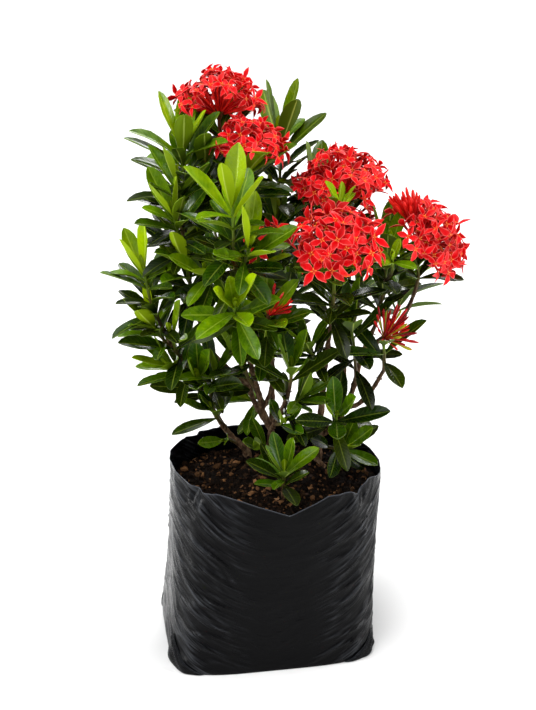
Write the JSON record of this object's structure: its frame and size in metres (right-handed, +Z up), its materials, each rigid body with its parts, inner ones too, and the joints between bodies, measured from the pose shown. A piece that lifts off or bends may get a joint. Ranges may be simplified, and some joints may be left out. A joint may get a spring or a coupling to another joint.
{
  "type": "potted ixora",
  "caption": "Flowering ixora shrub with leafy shoots, red flower heads and bud clusters, rooted in potting soil in a black polythene nursery bag.",
  "frame": {"origin": "on the flat underside of the bag, 6 mm to +X of its middle", "axes": "+Z up along the stems, -Y towards the front of the plant, +X to its right as seen from the front"},
  "size_m": [0.3168, 0.2631, 0.5346],
  "materials": {
    "film": "satin",
    "soil": "matte",
    "bark": "matte",
    "petal": "matte",
    "bud": "satin",
    "leaf": "satin"
  },
  "bodies": {
    "root": {"grow_bag": "film", "soil": "soil", "stem_back": "bark", "stem_front": "bark", "stems_centre": "bark", "stems_left": "bark", "stems_right": "bark", "flower_head_1": "petal", "flower_head_2": "petal", "flower_head_3": "petal", "flower_head_4": "petal", "flower_head_5": "petal", "flower_head_6": "petal", "flower_head_7": "petal", "bud_cluster_1": "bud", "bud_cluster_2": "bud", "shoot_back_1": "leaf", "shoot_back_2": "leaf", "shoot_back_3": "leaf", "shoot_back_4": "leaf", "shoot_back_5": "leaf", "shoot_back_6": "leaf", "shoot_back_7": "leaf", "shoot_back_8": "leaf", "shoot_back_9": "leaf", "shoot_buds_2": "leaf", "shoot_centre_1": "leaf", "shoot_centre_2": "leaf", "shoot_centre_3": "leaf", "shoot_centre_4": "leaf", "shoot_centre_5": "leaf", "shoot_centre_6": "leaf", "shoot_centre_7": "leaf", "shoot_centre_8": "leaf", "shoot_front": "leaf", "shoot_head_1": "leaf", "shoot_head_2": "leaf", "shoot_head_3": "leaf", "shoot_head_4": "leaf", "shoot_head_5": "leaf", "shoot_head_6": "leaf", "shoot_head_7": "leaf", "shoot_left_1": "leaf", "shoot_left_2": "leaf", "shoot_left_3": "leaf", "shoot_left_4": "leaf", "shoot_left_5": "leaf", "shoot_left_6": "leaf", "shoot_left_7": "leaf", "shoot_left_8": "leaf", "shoot_left_9": "leaf", "shoot_left_10": "leaf", "shoot_right_1": "leaf", "shoot_right_2": "leaf", "shoot_right_3": "leaf", "shoot_right_4": "leaf"}
  },
  "joints": []
}
